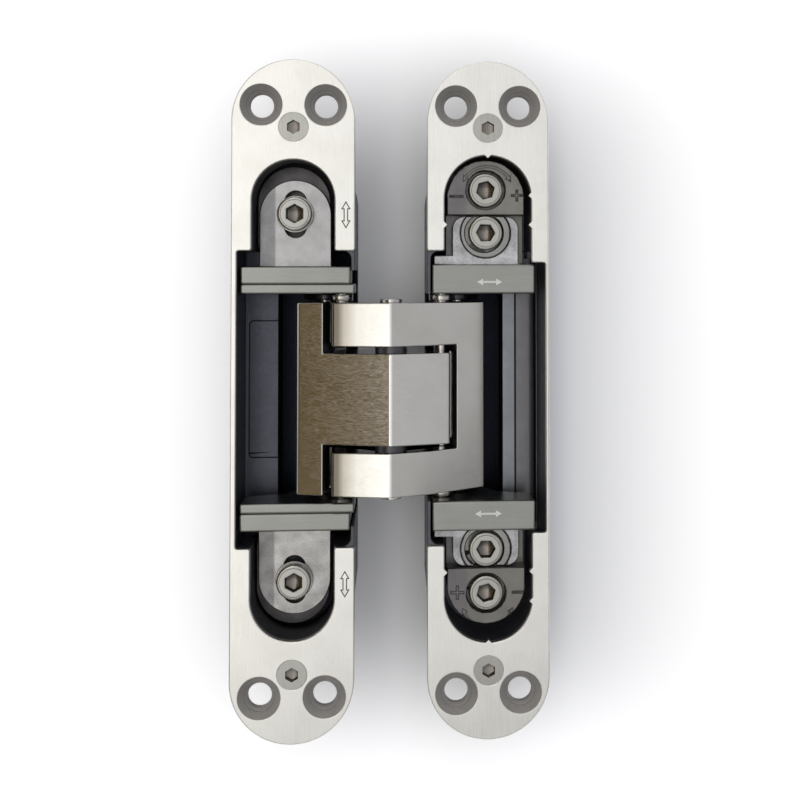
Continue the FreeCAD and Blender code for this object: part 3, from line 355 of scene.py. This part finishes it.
def stadium(across, near, far, radius):
    """A slot outline with round ends, from one end to the other along the length."""
    low, high = sorted((near, far))
    points = []
    for index in range(25):
        angle = math.pi * index / 24
        points.append((across + radius * math.cos(angle), high - radius + radius * math.sin(angle)))
    for index in range(25):
        angle = math.pi + math.pi * index / 24
        points.append((across + radius * math.cos(angle), low + radius + radius * math.sin(angle)))
    return points


def round_outline(across, along, radius):
    angles = [math.tau * index / 48 for index in range(48)]
    return [(across + radius * math.cos(angle), along + radius * math.sin(angle)) for angle in angles]


def block(left, right, low, high):
    """The outline of a rectangle."""
    return [(left, low), (right, low), (right, high), (left, high)]


def pick(piece, edge_wanted):
    """Select the edges that the test picks out, and nothing else."""
    for group in (piece.data.vertices, piece.data.edges, piece.data.polygons):
        for item in group:
            item.select = False
    for item in piece.data.edges:
        item.select = edge_wanted(*(piece.data.vertices[index].co / MM for index in item.vertices))


# Dressed solids: each CAD solid gets small rounded edges, its finish and its cut marks.

SHARP_BEND = 40.0
ARM_UNDERSIDE = 19.0
CLEAR_ABOVE = 30.0


def copy_of(node):
    piece = bpy.data.objects.new(f"{node}.skin", frame["nodes"][node].data.copy())
    scene.collection.objects.link(piece)
    enter(piece)
    bpy.ops.object.mode_set(mode="EDIT")
    bpy.ops.mesh.select_all(action="SELECT")
    bpy.ops.mesh.remove_doubles(threshold=0.000002)
    bpy.ops.mesh.dissolve_limited(angle_limit=math.radians(0.4))
    bpy.ops.object.mode_set(mode="OBJECT")
    return piece


def ease(piece, edge, bend):
    """Round every edge that is sharper than the bend, a little."""
    enter(piece)
    soft = piece.modifiers.new("ease", "BEVEL")
    soft.width = edge * MM
    soft.segments = 2
    soft.limit_method = "ANGLE"
    soft.angle_limit = math.radians(bend)
    soft.use_clamp_overlap = False
    bpy.ops.object.modifier_apply(modifier="ease")


def sink_sockets(piece, depth):
    """Drive a drill point into the floor of each hexagon socket."""
    enter(piece)
    floors = []
    for face in piece.data.polygons:
        face.select = len(face.vertices) == 6 and face.normal.z > 0.99 and face.area < 2.0e-5
        if face.select:
            floors.append(face.center.copy())
    for vertex in piece.data.vertices:
        vertex.select = False
    for joint in piece.data.edges:
        joint.select = False
    bpy.ops.object.mode_set(mode="EDIT")
    bpy.ops.mesh.select_mode(type="FACE")
    bpy.ops.mesh.poke(offset=-depth * MM, use_relative_offset=False)
    bpy.ops.object.mode_set(mode="OBJECT")
    return floors


def round_tips(piece, tip):
    """Cut an arm's free end back by hand and roll its upper edge over."""
    end, beyond, reach, radius = tip
    outline = block(min(end, beyond), max(end, beyond), -reach, reach)
    # The cut faces take painted shade.
    carve(piece, slab("cutter", outline, ARM_UNDERSIDE, CLEAR_ABOVE, ARM_SHADE))

    def upper(first, second):
        along = abs(first.x - end) < 0.01 and abs(second.x - end) < 0.01 and abs(first.z - second.z) < 0.01
        return along and first.z > 22.0 and abs(first.y - second.y) > 2.0
    pick(piece, upper)
    enter(piece)
    bpy.ops.object.mode_set(mode="EDIT")
    bpy.ops.mesh.select_mode(type="EDGE")
    bpy.ops.mesh.bevel(offset=radius * MM, segments=6, affect="EDGES")
    bpy.ops.object.mode_set(mode="OBJECT")


def dressed(node, finish, edge, slot, marks=(), faces=(), fills=(), sockets=0.0, tip=None, bend=SHARP_BEND,
            ring=None):
    """A skin over a CAD solid, in its place and on its body.

    The edge is the width of its rounding in millimetres. Fills are joined on and marks cut out, sockets
    is the depth of a drill point, tip cuts an arm's free end back, and ring is the radius of a line
    turned into a screw head.
    """
    piece = copy_of(node)
    if tip:
        round_tips(piece, tip)
    floors = sink_sockets(piece, sockets) if sockets else []
    if edge:
        ease(piece, edge, bend)
    piece.data.materials.clear()
    piece.data.materials.append(finish)
    for face in piece.data.polygons:
        face.material_index = 0
    for fill in fills:
        carve(piece, slab("fill", *fill), "UNION", tangled=True)
    for other, wanted in faces:
        finish_faces(piece, other, wanted)
    for mark in marks:
        carve(piece, slab("cutter", *mark), tangled=bool(fills))
    # The ring and the socket walls take painted shade.
    for floor in floors if ring else []:
        crown = max(corner.co.z for corner in piece.data.vertices) / MM
        line = round_outline(floor.x / MM, floor.y / MM, ring)
        carve(piece, slab("cutter", line, crown - 0.12, crown + 0.5, SOCKET_PAINTED_SHADE, 0.22))
    if floors:
        tops = [floor.z + 0.0016 for floor in floors]
        finish_faces(piece, SOCKET_PAINTED_SHADE, lambda face: any(
            (face.center.xy - floor.xy).length < 0.00235 and floor.z - 0.002 < face.center.z < top
            for floor, top in zip(floors, tops)))
    enter(piece)
    bpy.ops.object.shade_smooth_by_angle(angle=math.radians(38))
    even = piece.modifiers.new("even", "WEIGHTED_NORMAL")
    even.keep_sharp = True
    bpy.ops.object.modifier_apply(modifier="even")
    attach(piece, frame["nodes"][node]["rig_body"])
    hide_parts(node)


# Heights and places on the hinge in millimetres, and the tests that pick out the faces of one finish.

PLATE_TOP = 27.0
BAR_TOP = 26.0
BLOCK_TOP = 23.6
SHELF = 11.0
LEFT_BAR_FAR = 31.9
RIGHT_BAR_FAR = 32.3
HALF_MIDDLE = 23.7
SINK_RADIUS = 5.12
HOLES = [(hand * HALF_MIDDLE + across, along)
         for hand in (-1, 1) for across in (-7.8, 7.8) for along in (71.456, -71.456)]


def in_sink(face):
    """True for a face inside a countersunk hole."""
    place = face.center.xy / MM
    near = any((place - Vector(hole)).length < SINK_RADIUS for hole in HOLES)
    return near and face.center.z < (PLATE_TOP - 0.04) * MM and face.normal.z < 0.9


def on_left_bar(face):
    return abs(face.center.y) < (LEFT_BAR_FAR + 0.02) * MM


def on_right_bar(face):
    return abs(face.center.y) < (RIGHT_BAR_FAR + 0.02) * MM


def on_seat(face):
    """True for the floor of a slot, where an adjuster lies."""
    return face.normal.z > 0.9 and abs(face.center.y) > 36.0 * MM and 9.0 * MM < face.center.z < 17.0 * MM


def at_arm_end(face):
    """True for the upright faces where the arms meet end to end, and for the T-shaped arm's outer edge."""
    # These faces take painted shade, a near-black finish in place of the arm's steel.
    across = abs(face.center.x) / MM
    meets = abs(face.normal.z) < 0.6 and 13.0 < across < 17.2 and face.center.z > 15.0 * MM
    return meets or (face.center.x < -23.3 * MM and face.normal.x < -0.35)


def on_outer_wall(face):
    return abs(face.normal.z) < 0.5 and face.center.x > 36.0 * MM and abs(face.center.y) < 37.0 * MM


def on_shelf(face):
    return face.normal.z > 0.9 and 10.0 * MM < face.center.z < 11.1 * MM and abs(face.center.y) < 37.0 * MM


# Engraved marks and cuts: an outline, from which height to which, its finish and the width of its line.

ARROW_LINE = 0.24
SIGN_LINE = 0.3
PLATE_LEVELS = (PLATE_TOP - 0.12, PLATE_TOP + 0.5, GROOVE, ARROW_LINE)
LEFT_ARROWS = [
    (double_arrow(-10.95, 44.55, 6.7, 1.15, 2.0, 0.55), *PLATE_LEVELS),
    (double_arrow(-11.05, -44.5, 6.5, 1.15, 2.0, 0.55), *PLATE_LEVELS),
]
BAR_LEVELS = (BAR_TOP - 0.1, BAR_TOP + 0.5, PALE_GROOVE)
UPPER_BAR_ARROW = [(double_arrow(24.15, 28.2, 6.2, 0.85, 1.5, 0.25, False), *BAR_LEVELS)]
LOWER_BAR_ARROW = [(double_arrow(23.8, -28.35, 6.6, 0.85, 1.5, 0.25, False), *BAR_LEVELS)]
MARK_LEVELS = (BLOCK_TOP - 0.12, BLOCK_TOP + 0.5, GROOVE, SIGN_LINE)
UPPER_SIGNS = [
    (minus_sign(16.15, 49.35, 1.85, 0.42), *MARK_LEVELS),
    (plus_sign(31.2, 49.6, 1.5, 0.38), *MARK_LEVELS),
    (curved_arrow(23.75, 50.2, 6.6, 0.4, 0.95, 52.0, 14.0, 1), *MARK_LEVELS[:3], 0.22),
]
LOWER_SIGNS = [
    (plus_sign(16.3, -48.05, 1.75, 0.42), *MARK_LEVELS),
    (minus_sign(31.4, -48.2, 1.75, 0.42), *MARK_LEVELS),
    (curved_arrow(23.75, -50.2, 6.4, 0.4, 0.95, 62.0, 14.0, -1), *MARK_LEVELS[:3], 0.22),
]
PANEL_FILL = (block(-36.3, -29.1, -15.4, 21.0), SHELF - 1.5, SHELF, SHELF_ZINC)
PANEL_CORNERS = [(-35.2 - 1.2 * math.sin(math.radians(angle)), 17.1 + 1.2 * math.cos(math.radians(angle)))
                 for angle in range(0, 91, 15)]
PANEL = PANEL_CORNERS + [(across, 1.4 - along) for across, along in reversed(PANEL_CORNERS)]
PANEL += [(-27.2, -16.9), (-27.2, 18.3)]
# The panel's edge line and the bands round the slot ends are cut and filled with painted shade.
LEFT_CUTS = [
    (PANEL, SHELF - 0.35, SHELF + 0.5, DITCH_PAINTED_SHADE, 0.35),
    (stadium(-24.35, 28.0, 58.6, 10.5), 12.5, 16.6, DITCH_PAINTED_SHADE, 1.55),
    (stadium(-24.35, -28.0, -58.5, 10.5), 12.5, 16.6, DITCH_PAINTED_SHADE, 1.55),
]
GROOVE_FILL = (block(29.4, 35.5, -34.0, 34.0), SHELF - 1.5, SHELF, SHELF_STRIPS)
# The two grooves in the right shelf are filled with painted shade.
RIGHT_CUTS = [
    (block(31.85, 32.35, -34.0, 34.0), SHELF - 0.5, SHELF + 0.5, DITCH_PAINTED_SHADE),
    (block(36.9, 37.6, -34.0, 34.0), SHELF - 0.8, SHELF + 0.5, DITCH_PAINTED_SHADE),
]

PLATE = dict(finish=PLATE_STEEL, edge=0.12, slot="cover_plate", faces=[(SINK_PAINTED_SHADE, in_sink)])
HOUSING = dict(finish=HOUSING_ZINC, edge=0.15, slot="housing")
ARM = dict(edge=0.3, bend=20.0, slot="arm", faces=[(ARM_SHADE, at_arm_end)])
CARRIER = dict(edge=0.3, slot="carrier")
BEARING = dict(finish=BAR_NICKEL, edge=0.35, slot="carrier")
DISC = dict(finish=DISC_ZINC, edge=0.0, slot="steel")
BLOCK = dict(finish=BLOCK_ZINC, edge=0.0, slot="carrier")
CAP_SCREW = dict(finish=SCREW_STEEL, edge=0.25, slot="steel", sockets=1.5, ring=3.6)
PLATE_SCREW = dict(finish=SCREW_STEEL, edge=0.04, slot="steel", sockets=0.5)
LEVER = dict(finish=LEVER_STEEL, edge=0.1, slot="steel")
PIN = dict(finish=PIN_STEEL, edge=0.0, slot="steel")
COLLAR = dict(finish=PIN_STEEL, edge=0.1, slot="steel")
DRESS = {
    "left_plate": dict(PLATE, marks=LEFT_ARROWS),
    "right_plate": PLATE,
    "left_housing": dict(HOUSING, fills=[PANEL_FILL], marks=LEFT_CUTS,
                         faces=[(SEAT, on_seat), (SHELF_ZINC, on_shelf), (SINK_PAINTED_SHADE, in_sink)]),
    "right_housing": dict(HOUSING, fills=[GROOVE_FILL], marks=RIGHT_CUTS,
                          faces=[(SHELF_STRIPS, on_shelf), (WALL_ZINC, on_outer_wall), (SINK_PAINTED_SHADE, in_sink)]),
    "t_arm": dict(ARM, finish=ARM_NICKEL, tip=(14.4, 17.0, 12.0, 0.8)),
    "fork_arm": dict(ARM, finish=FORK_NICKEL, tip=(-14.4, -17.0, 25.0, 0.8)),
    "upper_left_carrier": dict(CARRIER, finish=TONGUE_STEEL, faces=[(BAR_NICKEL, on_left_bar)]),
    "lower_left_carrier": dict(CARRIER, finish=COARSE_STEEL, faces=[(BAR_NICKEL, on_left_bar)]),
    "upper_left_bearing": BEARING,
    "lower_left_bearing": BEARING,
    "upper_right_carrier": dict(CARRIER, finish=TONGUE_ZINC, marks=UPPER_BAR_ARROW,
                                faces=[(BAR_NICKEL, on_right_bar)]),
    "lower_right_carrier": dict(CARRIER, finish=TONGUE_ZINC, marks=LOWER_BAR_ARROW,
                                faces=[(BAR_NICKEL, on_right_bar)]),
    "upper_clamp_disc": DISC,
    "lower_clamp_disc": DISC,
    "upper_depth_block": dict(BLOCK, marks=UPPER_SIGNS),
    "lower_depth_block": dict(BLOCK, marks=LOWER_SIGNS),
    "left_clamp_screws": CAP_SCREW,
    "left_clamp_washers": dict(finish=SCREW_STEEL, edge=0.15, slot="steel"),
    "right_clamp_screws": CAP_SCREW,
    "right_clamp_nuts": dict(finish=SCREW_STEEL, edge=0.1, slot="steel"),
    "depth_screws": CAP_SCREW,
    "left_plate_screws": PLATE_SCREW,
    "right_plate_screws": PLATE_SCREW,
    "left_lever_upper": LEVER,
    "left_lever_lower": LEVER,
    "right_lever_upper": LEVER,
    "right_lever_lower": LEVER,
    "centre_pin": dict(finish=PIN_STEEL, edge=0.08, slot="steel"),
    "centre_washers": LEVER,
    "left_main_pins": PIN,
    "right_main_pin": PIN,
    "left_tail_pin": PIN,
    "right_tail_pin": PIN,
    "left_lever_pins": PIN,
    "right_lever_pins": PIN,
    "left_pivot_collars": COLLAR,
    "right_pivot_collars": COLLAR,
}
for node, how in DRESS.items():
    dressed(node, **how)


# Floor. Its glow is painted light: it is seen and mirrored, and lights nothing.

FADE_ACROSS = 14.5
FADE_SHIFT = -0.22
FADE_ALONG = 10.4
GLOW_STRENGTH = 0.5
bpy.ops.mesh.primitive_plane_add(size=4.0, location=(0, 0, 0))
floor = bpy.context.object
floor.name = "floor"
paper = material("white_paper_painted_glow", (0.82, 0.83, 0.86), 0.5, 0.0)
tree = paper.node_tree
glow = tree.nodes.new("ShaderNodeEmission")
glow.inputs["Color"].default_value = (0.98, 0.985, 1.0, 1.0)
add = tree.nodes.new("ShaderNodeAddShader")
eye = tree.nodes.new("ShaderNodeLightPath")


def step(operation, first, *others):
    """One step of arithmetic on the floor's nodes, with other nodes or numbers."""
    node = tree.nodes.new("ShaderNodeMath")
    node.operation = operation
    tree.links.new(first, node.inputs[0])
    for socket, other in zip(node.inputs[1:], others):
        if isinstance(other, float):
            socket.default_value = other
        else:
            tree.links.new(other, socket)
    return node.outputs[0]


seen_rays = step("ADD", eye.outputs["Is Camera Ray"], eye.outputs["Is Glossy Ray"])
seen_rays = step("ADD", seen_rays, eye.outputs["Is Transmission Ray"])
# Painted light: the glow makes the paper whiter away from the hinge, centred a little towards +X, and leaves
# painted shade beside the hinge round its real shadow.
place = tree.nodes.new("ShaderNodeTexCoord")
split = tree.nodes.new("ShaderNodeSeparateXYZ")
tree.links.new(place.outputs["Object"], split.inputs["Vector"])
sideways = step("MULTIPLY_ADD", split.outputs["X"], FADE_ACROSS, FADE_SHIFT)
endways = step("POWER", step("MULTIPLY", step("ABSOLUTE", split.outputs["Y"]), FADE_ALONG), 3.0)
pair = tree.nodes.new("ShaderNodeCombineXYZ")
tree.links.new(sideways, pair.inputs["X"])
tree.links.new(endways, pair.inputs["Y"])
reach = tree.nodes.new("ShaderNodeVectorMath")
reach.operation = "LENGTH"
tree.links.new(pair.outputs["Vector"], reach.inputs[0])
fade = tree.nodes.new("ShaderNodeMapRange")
fade.interpolation_type = "SMOOTHSTEP"
for label, number in (("From Min", 0.1), ("From Max", 1.25), ("To Min", 0.0), ("To Max", GLOW_STRENGTH)):
    fade.inputs[label].default_value = number
tree.links.new(reach.outputs["Value"], fade.inputs["Value"])
tree.links.new(step("MULTIPLY", seen_rays, fade.outputs["Result"]), glow.inputs["Strength"])
tree.links.new(tree.nodes["Principled BSDF"].outputs["BSDF"], add.inputs[0])
tree.links.new(glow.outputs["Emission"], add.inputs[1])
tree.links.new(add.outputs["Shader"], tree.nodes["Material Output"].inputs["Surface"])
floor.data.materials.append(paper)


# Light: a studio that the metal mirrors, and one soft window.

world = bpy.data.worlds.new("studio")
scene.world = world
world.use_nodes = True
tree = world.node_tree
direction = tree.nodes.new("ShaderNodeTexCoord")
parts = tree.nodes.new("ShaderNodeSeparateXYZ")
lean = tree.nodes.new("ShaderNodeMath")
lean.operation = "ARCTAN2"
tree.links.new(direction.outputs["Generated"], parts.inputs["Vector"])
tree.links.new(parts.outputs["X"], lean.inputs[0])
tree.links.new(parts.outputs["Z"], lean.inputs[1])
share = tree.nodes.new("ShaderNodeMapRange")
share.inputs["From Min"].default_value = -math.pi / 2
share.inputs["From Max"].default_value = math.pi / 2
tree.links.new(lean.outputs[0], share.inputs["Value"])
sky = tree.nodes.new("ShaderNodeValToRGB")
tree.links.new(share.outputs["Result"], sky.inputs["Fac"])
# Lean from the zenith in degrees (left is negative) and the light that comes from there.
SKY = [
    (-88, (0.85, 0.86, 0.90)),
    (-68, (0.70, 0.70, 0.72)),
    (-58, (0.12, 0.074, 0.02)),
    (-24.5, (0.113, 0.07, 0.014)),
    (-22, (1.5, 1.46, 1.34)),
    (-17, (2.2, 2.17, 2.1)),
    (-9, (1.4, 1.39, 1.37)),
    (-4, (1.02, 1.02, 1.02)),
    (12, (0.98, 0.98, 0.98)),
    (24, (0.60, 0.60, 0.61)),
    (38, (0.52, 0.52, 0.52)),
    (48, (0.54, 0.54, 0.535)),
    (70, (0.54, 0.54, 0.54)),
    (88, (0.65, 0.66, 0.70)),
]
SKY_STRENGTH = 2.5
band = sky.color_ramp
while len(band.elements) < len(SKY):
    band.elements.new(0.5)
for element, (degrees, colour) in zip(band.elements, SKY):
    element.position = (degrees + 90.0) / 180.0
    element.color = (*(level / SKY_STRENGTH for level in colour), 1.0)
# The light that leans towards the near end of the hinge is dimmer.
near_lean = tree.nodes.new("ShaderNodeMath")
near_lean.operation = "ARCTAN2"
tree.links.new(parts.outputs["Y"], near_lean.inputs[0])
tree.links.new(parts.outputs["Z"], near_lean.inputs[1])
dim = tree.nodes.new("ShaderNodeMapRange")
for label, number in (("From Min", math.radians(-25.0)), ("From Max", math.radians(-21.5)),
                      ("To Min", 0.45 * SKY_STRENGTH), ("To Max", SKY_STRENGTH)):
    dim.inputs[label].default_value = number
tree.links.new(near_lean.outputs[0], dim.inputs["Value"])
tree.links.new(dim.outputs["Result"], tree.nodes["Background"].inputs["Strength"])
tree.links.new(sky.outputs["Color"], tree.nodes["Background"].inputs["Color"])

LAMP_SIDE = 0.9
LAMP_POWER = 2.2
LAMP_PLACE = (-0.75, 0.15, 0.75)
lamp_data = bpy.data.lights.new("soft_window", "AREA")
lamp_data.shape = "RECTANGLE"
lamp_data.size = LAMP_SIDE
lamp_data.size_y = LAMP_SIDE
lamp_data.energy = LAMP_POWER
lamp = bpy.data.objects.new("soft_window", lamp_data)
scene.collection.objects.link(lamp)
lamp.location = LAMP_PLACE
lamp.rotation_mode = "QUATERNION"
lamp.rotation_quaternion = Vector(lamp.location).to_track_quat("Z", "Y")
lamp.visible_glossy = False
